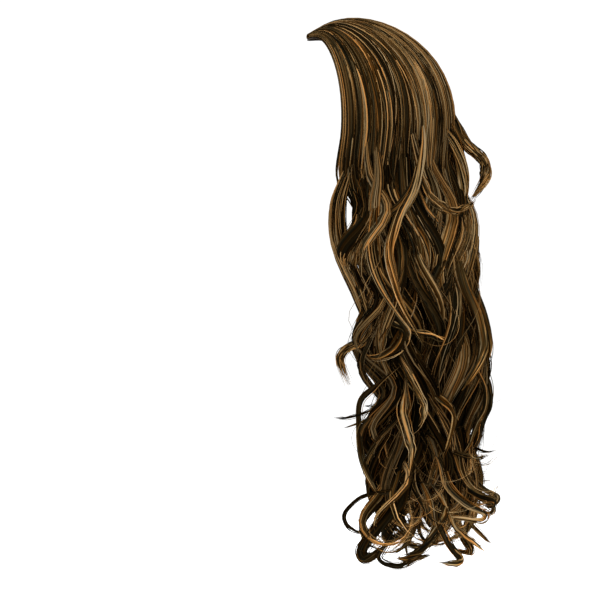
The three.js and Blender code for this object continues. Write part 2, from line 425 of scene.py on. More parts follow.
STRAND_SIDES = 3
CORNER_OFFSET = 0.2
STRAND_MAP = "OFBake"
MAP_ENDS = (0.02, 0.98)
MAP_COLUMN = (0.1, 0.9)
MAP_CAP = 0.004


def strand_rings(bundle):
    """Rings of points round each strand line; flat is the way that a strand's wide side faces across."""
    path, flat, sides = in_box(bundle["path"]), bundle["flat"], bundle["sides"]
    way = unit(np.gradient(path, axis=1))
    across = unit(flat - way * (flat * way).sum(-1, keepdims=True))
    out = np.cross(way, across)
    turn = 2 * np.pi * (np.arange(sides) + CORNER_OFFSET) / sides + bundle.get("twist", np.zeros((1, 1, 1)))
    ridge = bundle.get("ridge", np.ones((1, 1, 1)))
    across_by = (bundle["wide"][..., None] * np.cos(turn) * ridge)[..., None]
    out_by = (bundle["thick"][..., None] * np.sin(turn) * ridge)[..., None]
    return path[:, :, None] + across[:, :, None] * across_by + out[:, :, None] * out_by


def hair_mesh(name, bundles):
    """One mesh of closed strands. Each strand, or each side of a thick one, has a tone of its own.

    The map's first axis is the place in the order of tones, and its second runs from root to tip.
    """
    tones = [np.broadcast_to(b["tone"], (len(b["path"]), b["tone"].shape[1])) for b in bundles]
    all_tones = np.concatenate([t.ravel() for t in tones])
    order = np.empty(len(all_tones))
    order[np.argsort(all_tones, kind="stable")] = np.arange(len(all_tones))
    points, loops, sizes, uvs = [], [], [], []
    first_point = first_tone = 0
    for bundle, tone in zip(bundles, tones):
        rings = strand_rings(bundle)
        count, steps, sides = rings.shape[:3]
        index = first_point + np.arange(count * steps * sides).reshape(count, steps, sides)
        beside = np.roll(index, -1, axis=2)
        quads = np.stack([index[:, :-1], beside[:, :-1], beside[:, 1:], index[:, 1:]], -1)
        corner = (1 + np.cos(2 * np.pi * (np.arange(sides) + CORNER_OFFSET) / sides)) / 2
        left, right = corner, np.roll(corner, -1)
        if tone.shape[1] == sides:
            left, right = np.zeros(sides), np.ones(sides)
        column = order[first_tone:first_tone + tone.size].reshape(tone.shape)[:, None, :]
        across = mix(*MAP_COLUMN, np.stack([left, right, right, left], -1))
        u = (column[..., None] + across) / len(all_tones)
        v = np.linspace(*MAP_ENDS, steps)
        v = np.stack([v[:-1], v[:-1], v[1:], v[1:]], -1)[None, :, None, :]
        quad_uv = np.stack(np.broadcast_arrays(u + 0 * v, v + 0 * u), -1)
        end_u = (column[:, 0, :1] + mix(*MAP_COLUMN, corner)) / len(all_tones)
        faces = [(quads, quad_uv)]
        for at, ends, shift in zip(MAP_ENDS, (index[:, 0, ::-1], index[:, -1]), (end_u[:, ::-1], end_u)):
            end_v = at + MAP_CAP * np.sin(2 * np.pi * np.arange(sides) / sides)
            faces.append((ends, np.stack([shift, end_v + 0 * shift], -1)))
        for corners, uv in faces:
            loops.append(corners.ravel())
            sizes.append(np.full(corners.size // corners.shape[-1], corners.shape[-1]))
            uvs.append(uv.reshape(-1, 2))
        points.append(rings.reshape(-1, 3))
        first_point += count * steps * sides
        first_tone += tone.size
    loops = np.concatenate(loops).astype(np.int32)
    sizes = np.concatenate(sizes)
    mesh = bpy.data.meshes.new(name)
    mesh.vertices.add(first_point)
    mesh.vertices.foreach_set("co", np.concatenate(points).ravel())
    mesh.loops.add(len(loops))
    mesh.loops.foreach_set("vertex_index", loops)
    mesh.polygons.add(len(sizes))
    mesh.polygons.foreach_set("loop_start", (np.cumsum(sizes) - sizes).astype(np.int32))
    mesh.polygons.foreach_set("use_smooth", np.ones(len(sizes), bool))
    layer = mesh.uv_layers.new(name=STRAND_MAP)
    layer.data.foreach_set("uv", np.concatenate(uvs).ravel())
    mesh.update()
    mesh.validate()
    piece = bpy.data.objects.new(name, mesh)
    bpy.context.collection.objects.link(piece)
    return piece


# Tones of the hair, from the darkest strands to the lightest: share of strands, colour
HAIR_TONES = [
    (0.00, (0.0031, 0.0021, 0.0007)),
    (0.30, (0.0074, 0.0051, 0.0018)),
    (0.54, (0.0206, 0.0130, 0.0041)),
    (0.71, (0.0505, 0.0286, 0.0083)),
    (0.84, (0.1010, 0.0600, 0.0192)),
    (0.93, (0.2150, 0.1320, 0.0500)),
    (1.00, (0.2500, 0.1500, 0.0560)),
]
# Tints over those tones, from ash to copper: level of the noise that picks them, colour
HAIR_TINTS = [(0.39, (0.67, 1.00, 1.90)), (0.50, (1.0, 1.0, 1.0)), (0.62, (1.58, 0.78, 0.14))]
TINT_FADE = 0.54
LIGHT_STRANDS = 0.055
LIGHT_STRAND_LIFT = 0.40
LIGHT_STRAND_SEED = 5
light_random = np.random.default_rng(LIGHT_STRAND_SEED)
STRIPE_TONE = 1.4
STRIPE_ROUGHNESS = 0.62
STRIPES_ALONG = 3
HAIR_ROUGHNESS = (0.34, 0.50)
HAIR_BUMP = {"Strength": 0.35, "Distance": 0.0004}
HAIR_SPECULAR = 0.0


def with_light_strands(tone):
    """Lifts a few strands out of the dark, where lighter hair was mixed in."""
    return tone + LIGHT_STRAND_LIFT * (light_random.random(tone.shape) < LIGHT_STRANDS)


def hair_finish(name, stripes, lighter, lengthwise):
    """Hair of many tones: each strand has its own, and finer stripes run along it.

    lengthwise gives how bright the hair is at shares of its length, from root to tip: painted light and
    shade along it.
    """
    finish = Finish(name, HAIR_SPECULAR)
    place = finish.node("UVMap", {}, uv_map=STRAND_MAP)["UV"]
    split = finish.node("SeparateXYZ", {"Vector": place})
    stretch = finish.node("Mapping", {"Vector": place, "Scale": (stripes, STRIPES_ALONG, 1)})["Vector"]
    stripe = finish.node("TexNoise", {"Vector": stretch, "Scale": 1, "Roughness": STRIPE_ROUGHNESS})
    shift = finish.node(
        "Math", {0: stripe["Fac"], 1: STRIPE_TONE, 2: lighter - STRIPE_TONE / 2}, operation="MULTIPLY_ADD")
    tone = finish.node("Math", {0: split["X"], 1: shift["Value"]}, operation="ADD", use_clamp=True)["Value"]
    tint = finish.node("SeparateColor", {"Color": stripe["Color"]})["Green"]
    less_on_light = finish.node("Math", {0: tone, 1: -TINT_FADE, 2: 1}, operation="MULTIPLY_ADD")["Value"]
    brightness = [(at, (level, level, level)) for at, level in lengthwise]
    colour = finish.ramp(tone, HAIR_TONES)
    for share, over in (
        (less_on_light, finish.ramp(tint, HAIR_TINTS)),
        (1, finish.ramp(split["Y"], brightness)),
    ):
        layers = {"Factor": share, "A": colour, "B": over}
        colour = finish.node("Mix", layers, data_type="RGBA", blend_type="MULTIPLY")["Result"]
    finish.fill(finish.shader, {
        "Base Color": colour,
        "Roughness": finish.rough(stripe["Fac"], *HAIR_ROUGHNESS),
        "Normal": finish.bump(stripe["Fac"], HAIR_BUMP),
    })
    return finish.material


def add_hair(name, bundles, finish, *nodes):
    """A finished piece of hair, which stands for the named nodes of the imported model."""
    piece = hair_mesh(name, bundles)
    piece.data.materials.append(finish)
    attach(piece, "root")
    if nodes:
        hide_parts(*nodes)


# Rolled strands start inside the roll at the front edge, and the others at a row of the net
ROLL_STEPS = 6
ROLL_START = -0.6
ROLL_FORWARD = 0.45
FORWARD_SHARE = 0.03
CROWN_STEPS = 19
FALL_STEPS = 14
LAST_ROW = CROWN_STEPS - 5
STEP_APART = 1e-5
ROOT_APART = 1e-4
ROW_RISE = 0.3
ROW_RISE_END = 0.2
# Ends of runs are lengths below the rim, or above it where they are negative
RIM_TUCK = 0.40
RIM_TUCK_RUN = (-0.12, 0)
END_LAYER = (0.66, 1.0)
END_LAYER_RUN = (0.0, 0.09)
HANGING_RUN = (-0.04, 0.05)
LOCK_GATHER = 0.014
LOCK_GATHER_RUN = (-0.03, 0.10)
RIM_SMOOTHING = (ROLL_STEPS + CROWN_STEPS - 3, 2)
WAVE_JITTER = 0.4
ANY_PHASE = (0, 6.3)
ASTRAY = (0.002, 0.010)
ASTRAY_FROM = 0.3
ASTRAY_BENDS = (0.8, 2.2)
ROLLED_ROOT = 0.45
ROW_ROOT = 0.05
ROOT_END = 0.25
TIP_START = 0.55
TIP_THINNING = 0.95
CROWN_WIDTHS = (0.4, 1.6)
THICKNESSES = (0.8, 1.2)
STREAK_FANS = np.linspace(-56, 56, 24)
STREAK_SHARE = 0.5
EDGE_SHADE = 0.30
DARK_BAND_FAN = 30.5
DARK_BAND_WIDTH = 6.5
DARK_BAND_SHADE = 0.28


def crown_strands(fan, depth, rolled, half_wide, half_thick, ends):
    """Strands that roll over the front edge, or leave a row of the net, and end below the rim."""
    count = len(fan)
    end_layer = between(*END_LAYER, count)
    first = np.where(rolled, 0, random.integers(1, LAST_ROW, count))[:, None]
    step = np.arange(CROWN_STEPS)[None, :]
    on_crown = np.maximum(step, first) / CROWN_STEPS + STEP_APART * step
    on_crown = (on_crown - 1) * crown_length(fan, end_layer)
    run = np.concatenate([on_crown, between(*ends, count, 1) * np.linspace(0, 1, FALL_STEPS)], axis=1)
    share = (run - run[:, :1]) / (run[:, -1:] - run[:, :1])
    rise = np.where(rolled[:, None], 1, mix(ROW_RISE, 1, ease(share, 0, ROW_RISE_END)))
    layer = depth[:, None] * (1 - RIM_TUCK * ease(run, *RIM_TUCK_RUN))
    layer = rise * mix(layer, end_layer[:, None], ease(run, *END_LAYER_RUN))
    around = 0.5 - fan[:, None] / (2 * SIDE_EDGE_ANGLE)
    sideways, outward = set_waves(around, np.maximum(run, 0), random.normal(0, WAVE_JITTER, (count, 1)))
    off_middle = lock_at(around)[1]
    inside_edge = 1 - (fan[:, None] / SIDE_EDGE_ANGLE) ** 4
    astray = mix(*ASTRAY, random.random((count, 1)) ** 3)
    wander = random.normal(0, 1, (count, 1)) * astray * ease(share, 0, ASTRAY_FROM) * inside_edge
    bends = share * between(*ASTRAY_BENDS, count, 1)
    wander = wander * np.sin(np.pi * bends + between(*ANY_PHASE, count, 1))
    hanging = ease(run, *HANGING_RUN)
    gather = LOCK_GATHER * off_middle * ease(run, *LOCK_GATHER_RUN) * inside_edge
    path, along = hair_path(fan, layer, run, sideways * hanging + wander - gather, outward * hanging)
    level = crown_point(fan, np.zeros(count), depth)
    under = crown_point(fan, np.zeros(count), np.zeros(count))
    up = unit(level - under)
    forward = unit(level - crown_point(fan, np.full(count, FORWARD_SHARE), depth))
    radius = np.linalg.norm(level - under, axis=-1) / 2
    bend = np.linspace(ROLL_START, np.pi, ROLL_STEPS + 1)[None, :-1, None]
    roll = ((level + under) / 2)[:, None] + radius[:, None, None] * (
        ROLL_FORWARD * forward[:, None] * np.sin(bend) - up[:, None] * np.cos(bend))
    apart = np.linspace(-ROOT_APART, 0, ROLL_STEPS)[None, :, None]
    stay = np.repeat(path[:, :1], ROLL_STEPS, axis=1) + apart
    path = np.concatenate([np.where(rolled[:, None, None], roll, stay), path], axis=1)
    smooth_path(path[:, RIM_SMOOTHING[0]:], RIM_SMOOTHING[1])
    length = np.cumsum(np.linalg.norm(np.diff(path, axis=1, prepend=path[:, :1]), axis=-1), axis=1)
    length = length / length[:, -1:]
    root = np.where(rolled, ROLLED_ROOT, ROW_ROOT)[:, None]
    profile = mix(root, 1, ease(length, 0, ROOT_END)) * (1 - TIP_THINNING * ease(length, TIP_START, 1))
    wide = half_wide * between(*CROWN_WIDTHS, count, 1) * profile
    thick = half_thick * between(*THICKNESSES, count, 1) * profile
    streak = np.interp(fan, STREAK_FANS, random.random(len(STREAK_FANS)))
    tone = mix(random.random(count), streak, STREAK_SHARE) - EDGE_SHADE * (fan / SIDE_EDGE_ANGLE) ** 2
    tone = tone - DARK_BAND_SHADE * np.exp(-((np.abs(fan) - DARK_BAND_FAN) / DARK_BAND_WIDTH) ** 2)
    tone = with_light_strands(tone)[:, None]
    flat = along[:, None] + 0 * path
    return {"path": path, "flat": flat, "wide": wide, "thick": thick, "sides": STRAND_SIDES, "tone": tone}


def spread_fans(count, low, high):
    """Fan angles spread evenly between two, each a little off its place."""
    return mix(low, high, (np.arange(count) + random.random(count)) / count)


ROLL_CORE_FANS = np.linspace(51, -51, 40)
ROLL_CORE_HALF = 0.4
ROLL_CORE_FLAT = 0.5
ROLL_CORE_SIDES = 8


def roll_core():
    """The hair inside the roll along the front edge, from one side to the other."""
    fan = ROLL_CORE_FANS
    low = crown_point(fan, 0 * fan, 0 * fan)
    high = crown_point(fan, 0 * fan, 0 * fan + 1)
    half = ROLL_CORE_HALF * np.linalg.norm(high - low, axis=-1)[None]
    path = ((low + high) / 2)[None]
    return {
        "path": path, "flat": np.array([0, 0, 1]) + 0 * path, "sides": ROLL_CORE_SIDES,
        "wide": half, "thick": ROLL_CORE_FLAT * half, "tone": np.zeros((1, 1)),
    }


# Brightness at shares of the length: the top lies in the light, and the ends in the shade of the locks
CROWN_BRIGHTNESS = [(0, 1.1), (0.16, 1.25), (0.30, 1.15), (0.42, 1.0), (0.54, 0.80), (0.64, 0.68), (1, 0.9)]
CROWN_STRIPES = 1900
CROWN_LIGHTER = 0.055
CROWN_FANS = (-51.5, 51.5)
# Count, share that is rolled, half width and thickness, and how far below the rim the ends come. Those at
# the side edges are all rolled, and counted for one side
BAND_COUNT, BAND_ROLLED, BAND_HALF, BAND_ENDS = 740, 0.6, (0.0010, 0.0004), (0.06, 0.24)
FINE_COUNT, FINE_ROLLED, FINE_HALF, FINE_ENDS = 300, 0.5, (0.0005, 0.0005), (0.03, 0.22)
EDGE_COUNT, EDGE_HALF, EDGE_ENDS = 55, (0.0013, 0.0005), (0.04, 0.14)
EDGE_FANS = (44, 51.8)
EDGE_LEAN = 1.6
BAND_DEPTHS = 0.25
FINE_DEPTH = 1.02
FINE_DEPTHS = 0.1
crown_finish = hair_finish("crown_hair_strands", CROWN_STRIPES, CROWN_LIGHTER, CROWN_BRIGHTNESS)
fans = spread_fans(BAND_COUNT, *CROWN_FANS)
band_depth = 1.0 - BAND_DEPTHS * random.random(BAND_COUNT) ** 1.5
crown_bands = crown_strands(
    fans, band_depth, random.random(BAND_COUNT) < BAND_ROLLED, *BAND_HALF, BAND_ENDS)
add_hair("crown_hair_strands", [crown_bands], crown_finish, "crown_hair")
inner, outer = EDGE_FANS
fans = np.r_[spread_fans(EDGE_COUNT, inner, outer), spread_fans(EDGE_COUNT, -outer, -inner)]
edge_depth = random.random(len(fans))
fans = fans + EDGE_LEAN * np.sign(fans) * (1 - edge_depth) ** 2
edge_bands = crown_strands(fans, edge_depth, np.full(len(fans), True), *EDGE_HALF, EDGE_ENDS)
fans = spread_fans(FINE_COUNT, *CROWN_FANS)
fine_depth = FINE_DEPTH - FINE_DEPTHS * random.random(FINE_COUNT)
fine_strands = crown_strands(
    fans, fine_depth, random.random(FINE_COUNT) < FINE_ROLLED, *FINE_HALF, FINE_ENDS)
add_hair("crown_edge_strands", [edge_bands, fine_strands, roll_core()], crown_finish)

# Crown underlay
# Under the outer rows lies a close layer of the same hair, painted dark for the shade of the rows over it.
# It is sewn flat to the net in rows, from just behind the front edge down to the rim, and keeps the net from
# showing.
UNDERLAY_GRID = (70, 26)
UNDERLAY_START = 0.02
UNDERLAY_DEPTH = 0.72
UNDERLAY_SIDE_TUCK = 0.35
UNDERLAY_TUCK = 0.62
UNDERLAY_TUCK_FROM = 0.45
UNDERLAY_EDGE = 51.4
UNDERLAY_WALL = 0.004
# Painted shade: the underlay takes the darkest tones of the hair, for the shade of the rows over it
UNDERLAY_SHADE_COLOURS = [(0.3, HAIR_TONES[0][1]), (0.8, HAIR_TONES[2][1])]
UNDERLAY_STRIPES = (220, 3, 1)
UNDERLAY_DETAIL = 3
UNDERLAY_BUMP = {"Strength": 0.5, "Distance": 0.0006}
UNDERLAY_ROUGHNESS = 0.5


def underlay_finish():
    """Hair combed flat, painted dark as the shade under the rows, with stripes that run from the front edge
    to the rim.
    """
    finish = Finish("crown_underlay", HAIR_SPECULAR)
    place = finish.node("UVMap", {}, uv_map="UVMap")["UV"]
    stretch = finish.node("Mapping", {"Vector": place, "Scale": UNDERLAY_STRIPES})["Vector"]
    stripe = finish.node("TexNoise", {"Vector": stretch, "Scale": 1, "Detail": UNDERLAY_DETAIL})["Fac"]
    finish.fill(finish.shader, {
        "Base Color": finish.ramp(stripe, UNDERLAY_SHADE_COLOURS),
        "Normal": finish.bump(stripe, UNDERLAY_BUMP),
        "Roughness": UNDERLAY_ROUGHNESS,
    })
    return finish.material


underlay, underlay_across, underlay_down = flat_grid("crown_underlay", *UNDERLAY_GRID)
underlay_share = mix(UNDERLAY_START, 1.0, underlay_down)
underlay_depth = UNDERLAY_DEPTH - UNDERLAY_SIDE_TUCK * np.abs(underlay_across) ** 6
underlay_depth = underlay_depth * (1 - UNDERLAY_TUCK * ease(underlay_share, UNDERLAY_TUCK_FROM, 1.0))
lay_grid(underlay, crown_point(underlay_across * UNDERLAY_EDGE, underlay_share, underlay_depth))
wall = underlay.modifiers.new("wall", "SOLIDIFY")
wall.thickness = UNDERLAY_WALL
wall.offset = -1
bpy.ops.object.modifier_apply(modifier=wall.name)
bpy.ops.object.mode_set(mode="EDIT")
bpy.ops.mesh.select_all(action="SELECT")
bpy.ops.mesh.normals_make_consistent(inside=False)
bpy.ops.object.mode_set(mode="OBJECT")
bpy.ops.object.shade_smooth()
underlay.data.materials.append(underlay_finish())
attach(underlay, "root")

# Outer locks
# Locks of the same hair, set in waves by heat, hang from the rim all round the sides and back. Each is
# a few clumps of strands that twist together and turn up at their tips.
OUTER_LOCKS = {
    "count": LOCK_COUNT, "place": 0.74, "from": LOCK_ENDS[0], "to": LOCK_ENDS[1], "length": 0.440,
    "clumps": 6, "half": (0.0092, 0.0050)}
# Steps and sides of a clump's core, and steps of its strands. Then the bands and fine hairs round it: how
# many, how far they spread, and half their width and thickness
OUTER_CLUMPS = {
    "core": (50, 12), "steps": 48, "strands": [(9, 1.05, 0.0011, 0.0007), (5, 1.25, 0.00045, 0.00045)]}
SHORTER_AT_EDGE = 0.040
STAGGER = (0.0, 0.026, 0.010)
LENGTH_VARIES = 0.20
CLUMP_OVERLAP = 1.2
CLUMP_DEPTHS = (-0.34, 0.14)
CLUMP_JITTER = 0.55
CLUMP_SIZES = (0.75, 1.3)
CLUMP_TWIST = (2.0, 5.0)
CLUMP_TONE = 0.45
INNER_SHADE = 1.2
# Middle lines of the clumps
GUIDE_STEPS = 120
GUIDE_SMOOTHING = 12
STRAIGHT_PACE = 0.35
ROOT_RUN = -0.06
ROOT_SUNK = 0.3
ROOT_SUNK_END = (0.02, 0.10)
WAVE_PACE = (0.94, 1.06)
WAVE_STRENGTH = (0.75, 1.2)
DRIFT = 0.008
DRIFT_RUN = (0, 0.12)
DRIFT_WAVE = (0.28, 0.45)
HOOK_LENGTH = (0.060, 0.125)
HOOK_TURN = (1.6, 4.2)
HOOK_WAY = (1.05, 2.3)
HOOK_OUTWARD = 0.15
HOOK_BIAS = 20
RING_FANS = np.linspace(SIDE_EDGE_ANGLE, -SIDE_EDGE_ANGLE, 121)
# Width of a clump at its root, below its widest and at its tip, with the shares of its length between
# which it changes to or from its full width
CLUMP_ROOT = (0.25, 0.03, 0.26)
CLUMP_MIDDLE = (0.78, 0.2, 0.5)
CLUMP_TIP = (0.45, 0.68, 1.0)
# Strands and cores of the clumps
STRAND_SHORTER = 0.16
STRAND_RADIUS = (0.15, 1.0)
STRAND_ROOT = (0.4, 0.12)
STRAND_TIP = (0.93, 1.6)
STRAND_WIDTHS = (0.6, 1.4)
RIPPLE_START = (0.1, 0.5)
RIPPLE_BENDS = (3, 6)
RIPPLE_OUT = 0.6
LOCK_RIPPLE = 0.0016
LOCK_TAPER = 0.60
CORE_END = 0.96
CORE_SIZE = 0.8
CORE_RIDGE = 0.18
CORE_RIDGE_LIMIT = 1.5
CORE_TIP = 0.92
CORE_SHADE = 0.12


def fan_at(place, around):
    """Fan angle of the strand line at a share of the way round the rim, from the left edge to the right."""
    ring = crown_point(RING_FANS, np.ones_like(RING_FANS), np.full_like(RING_FANS, place))
    gone = np.r_[0, np.cumsum(np.linalg.norm(np.diff(ring, axis=0), axis=1))]
    return np.interp(around, gone / gone[-1], RING_FANS)


def hanging_guides(fan, around, depth, length, jitter):
    """Middle lines of hanging clumps: waves that grow on the way down, a drift and a hook at the tip."""
    count = len(fan)
    share = np.linspace(0, 1, GUIDE_STEPS)[None, :]
    hook_length = between(*HOOK_LENGTH, count, 1)
    hook_turn = between(*HOOK_TURN, count, 1)
    hook_hand = np.sign(random.random(count) - 0.5 + HOOK_BIAS * (0.5 - around) ** 3)
    hook_way = between(*HOOK_WAY, count, 1) * hook_hand[:, None]
    radius = hook_length / hook_turn
    hook_start = length[:, None] - radius
    run = mix(ROOT_RUN, hook_start + hook_length, share)
    turned = np.clip((run - hook_start) / radius, 0, hook_turn)
    off = radius * (1 - np.cos(turned))
    before = np.minimum(run, hook_start)
    pace = between(*WAVE_PACE, count, 1)
    sideways, outward = set_waves(around[:, None], before * pace, jitter[:, None])
    drift = random.normal(0, DRIFT, (count, 1)) * ease(before, *DRIFT_RUN)
    drift_turn = 2 * np.pi * before / between(*DRIFT_WAVE, count, 1)
    drift = drift * np.sin(drift_turn + between(*ANY_PHASE, count, 1))
    strength = between(*WAVE_STRENGTH, count, 1)
    sideways = sideways * strength + drift + off * np.sin(hook_way)
    outward = outward * strength + off * np.minimum(np.cos(hook_way), HOOK_OUTWARD)
    sunk_end = between(*ROOT_SUNK_END, count, 1)
    sunk = depth[:, None] * mix(ROOT_SUNK, 1, ease(run, ROOT_RUN, sunk_end))
    path, along = hair_path(fan, sunk, before + radius * np.sin(turned), sideways, outward)
    return smooth_path(path, GUIDE_SMOOTHING), along


def clump_frames(guides, along):
    """Ways across and out of each clump, carried down its middle line without a twist."""
    way = unit(np.gradient(guides, axis=1))
    across = np.empty_like(guides)
    side = along
    for step in range(guides.shape[1]):
        side = unit(side - way[:, step] * (side * way[:, step]).sum(-1, keepdims=True))
        across[:, step] = side
    return across, np.cross(way, across)


def at_share(lines, clump, share):
    """Points of the clumps' lines at shares of their length."""
    at = share * (lines.shape[1] - 1)
    low = np.clip(at.astype(int), 0, lines.shape[1] - 2)
    part = (at - low)[..., None]
    return mix(lines[clump[:, None], low], lines[clump[:, None], low + 1], part)


def strand_steps(guides, steps):
    """Shares of a clump's length at which its strands have points, closer together where it bends."""
    way = unit(np.gradient(guides, axis=1))
    bend = np.linalg.norm(np.gradient(way, axis=1), axis=-1)
    pace = bend + STRAIGHT_PACE * bend.mean(1, keepdims=True)
    gone = np.cumsum(pace, axis=1) - pace[:, :1]
    even = np.linspace(0, 1, guides.shape[1])
    return np.array([np.interp(np.linspace(0, line[-1], steps), line, even) for line in gone])


def clump_gather(share):
    """How wide a clump is along its length: thin at the root, widest near it, thin again at the tip."""
    root, start, end = CLUMP_ROOT
    width = mix(root, 1.0, ease(share, start, end))
    for narrow, start, end in (CLUMP_MIDDLE, CLUMP_TIP):
        width = width * mix(1.0, narrow, ease(share, start, end))
    return width


def clump_strands(form, steps, each, spread, half_wide, half_thick):
    """Strands laid round the middle lines of clumps, twisted together and loose at the tips."""
    clump = np.repeat(np.arange(len(form["guides"])), each)
    count = len(clump)
    step = strand_steps(form["guides"], steps)[clump]
    share = step * (1 - STRAND_SHORTER * random.random((count, 1)) ** 2)
    angle = between(0, 2 * np.pi, count, 1) + form["twist"][clump] * share
    radius = spread * np.sqrt(between(*STRAND_RADIUS, count, 1)) * clump_gather(share)
    ripple = random.normal(0, form["ripple"], (count, 1)) * ease(share, *RIPPLE_START)
    ripple_turn = 2 * np.pi * share * between(*RIPPLE_BENDS, count, 1)
    ripple = ripple * np.sin(ripple_turn + between(*ANY_PHASE, count, 1))
    across = at_share(form["across"], clump, share)
    out = at_share(form["out"], clump, share)
    across_by = form["wide"][clump] * radius * np.cos(angle) + ripple
    out_by = form["thick"][clump] * radius * np.sin(angle) + RIPPLE_OUT * ripple
    path = at_share(form["guides"], clump, share)
    path = path + across * across_by[..., None] + out * out_by[..., None]
    flat = out * np.cos(angle)[..., None] - across * np.sin(angle)[..., None]
    root, root_end = STRAND_ROOT
    thinning, sharpness = STRAND_TIP
    profile = mix(root, 1, ease(share, 0, root_end))
    profile = profile * (1 - thinning * ease(step, form["taper"], 1.0) ** sharpness)
    tone = CLUMP_TONE * form["tone"][clump] + (1 - CLUMP_TONE) * random.random((count, 1))
    return {
        "path": path, "flat": flat, "sides": STRAND_SIDES, "tone": with_light_strands(tone),
        "wide": half_wide * between(*STRAND_WIDTHS, count, 1) * profile,
        "thick": half_thick * between(*THICKNESSES, count, 1) * profile,
    }


def clump_cores(form, steps, sides):
    """Solid middles of clumps, ridged along their length like hair drawn together."""
    clump = np.arange(len(form["guides"]))
    share = CORE_END * strand_steps(form["guides"], steps)
    uneven = random.normal(0, 1, (len(clump), 1, sides)).clip(-CORE_RIDGE_LIMIT, CORE_RIDGE_LIMIT)
    tip = ease(share, (form["taper"] + CORE_END) / 2, CORE_END)
    shape = CORE_SIZE * clump_gather(share) * (1 - CORE_TIP * tip)
    tone = CLUMP_TONE * form["tone"] + (1 - CLUMP_TONE) * random.random((len(clump), sides)) - CORE_SHADE
    return {
        "path": at_share(form["guides"], clump, share), "flat": at_share(form["across"], clump, share),
        "wide": form["wide"] * shape, "thick": form["thick"] * shape, "sides": sides,
        "ridge": 1 + CORE_RIDGE * uneven, "twist": (form["twist"] * share)[..., None], "tone": tone,
    }


def clump_bundles(form, kind):
    """Cores of a few clumps, then the bands and the fine hairs round them."""
    bundles = [clump_cores(form, *kind["core"])]
    for strands in kind["strands"]:
        bundles.append(clump_strands(form, kind["steps"], *strands))
    return bundles


def clump_form(guides, along, half_wide, half_thick, taper):
    """Middle lines, ways, sizes, twist and tone of a few clumps, and where their strands start to thin."""
    count = len(guides)
    across, out = clump_frames(guides, along)
    hand = np.sign(random.random((count, 1)) - 0.5)
    return {
        "guides": guides, "across": across, "out": out, "taper": taper, "ripple": LOCK_RIPPLE,
        "wide": half_wide * between(*CLUMP_SIZES, count, 1),
        "thick": half_thick * between(*CLUMP_SIZES, count, 1),
        "twist": hand * between(*CLUMP_TWIST, count, 1), "tone": random.random((count, 1)),
    }


def lock_form(layer, index):
    """Clumps of one hanging lock."""
    clumps = layer["clumps"]
    width = (layer["to"] - layer["from"]) / layer["count"]
    middle = layer["from"] + width * (index + 0.5)
    spread = (np.arange(clumps) + random.random(clumps)) / clumps - 0.5
    around = middle + width * CLUMP_OVERLAP * spread
    depth = layer["place"] + between(*CLUMP_DEPTHS, clumps)
    edge = np.abs(2 * around - 1) ** 6
    length = layer["length"] - SHORTER_AT_EDGE * edge - STAGGER[index % len(STAGGER)]
    length = length * (1 - LENGTH_VARIES * random.random(clumps) ** 2)
    jitter = random.normal(0, CLUMP_JITTER, clumps)
    lock_middle = np.full(clumps, middle)
    guides, along = hanging_guides(fan_at(layer["place"], around), lock_middle, depth, length, jitter)
    form = clump_form(guides, along, *layer["half"], LOCK_TAPER)
    form["tone"] = form["tone"] + INNER_SHADE * (depth - layer["place"])[:, None]
    return form


def add_locks(kind, layer, clumps, finish):
    """The locks of a layer, each a piece for the node of its number."""
    for index in range(layer["count"]):
        name = f"{kind}_{index + 1:02d}"
        add_hair(f"{name}_strands", clump_bundles(lock_form(layer, index), clumps), finish, name)


# Brightness at shares of the length: painted shade at the roots and where the locks lie close, and lighter
# at the tips
LOCK_BRIGHTNESS = [
    (0, 0.4), (0.12, 0.55), (0.24, 0.90), (0.43, 0.52), (0.53, 0.24), (0.60, 0.23), (0.67, 0.33),
    (0.76, 0.80), (0.88, 2.0), (1, 2.3)]
LOCK_STRIPES = 450
LOCK_LIGHTER = 0.01
lock_finish = hair_finish("lock_strands", LOCK_STRIPES, LOCK_LIGHTER, LOCK_BRIGHTNESS)
add_locks("outer_lock", OUTER_LOCKS, OUTER_CLUMPS, lock_finish)

# Under locks
# The inner layer of the same hair hangs behind the neck from the lowest rows of the net. Its locks are a
# little shorter than the outer ones, lie in their shade and fill out the fall.
UNDER_LOCKS = {
    "count": 9, "place": 0.22, "from": 0.16, "to": 0.84, "length": 0.412,
    "clumps": 4, "half": (0.0085, 0.0075)}
UNDER_CLUMPS = {
    "core": (36, 9), "steps": 36, "strands": [(3, 1.1, 0.0016, 0.0008), (2, 1.3, 0.0006, 0.0005)]}
# Brightness at shares of the length: painted shade at the roots under the rim, and lighter towards the tips
UNDER_BRIGHTNESS = [(0, 0.5), (0.3, 0.8), (0.75, 0.8), (1, 1.3)]
UNDER_STRIPES = 200
# Shift of tone that paints the under locks darker, for the shade of the outer locks over them
UNDER_SHADE_SHIFT = -0.25
under_finish = hair_finish("under_lock_strands", UNDER_STRIPES, UNDER_SHADE_SHIFT, UNDER_BRIGHTNESS)
add_locks("under_lock", UNDER_LOCKS, UNDER_CLUMPS, under_finish)

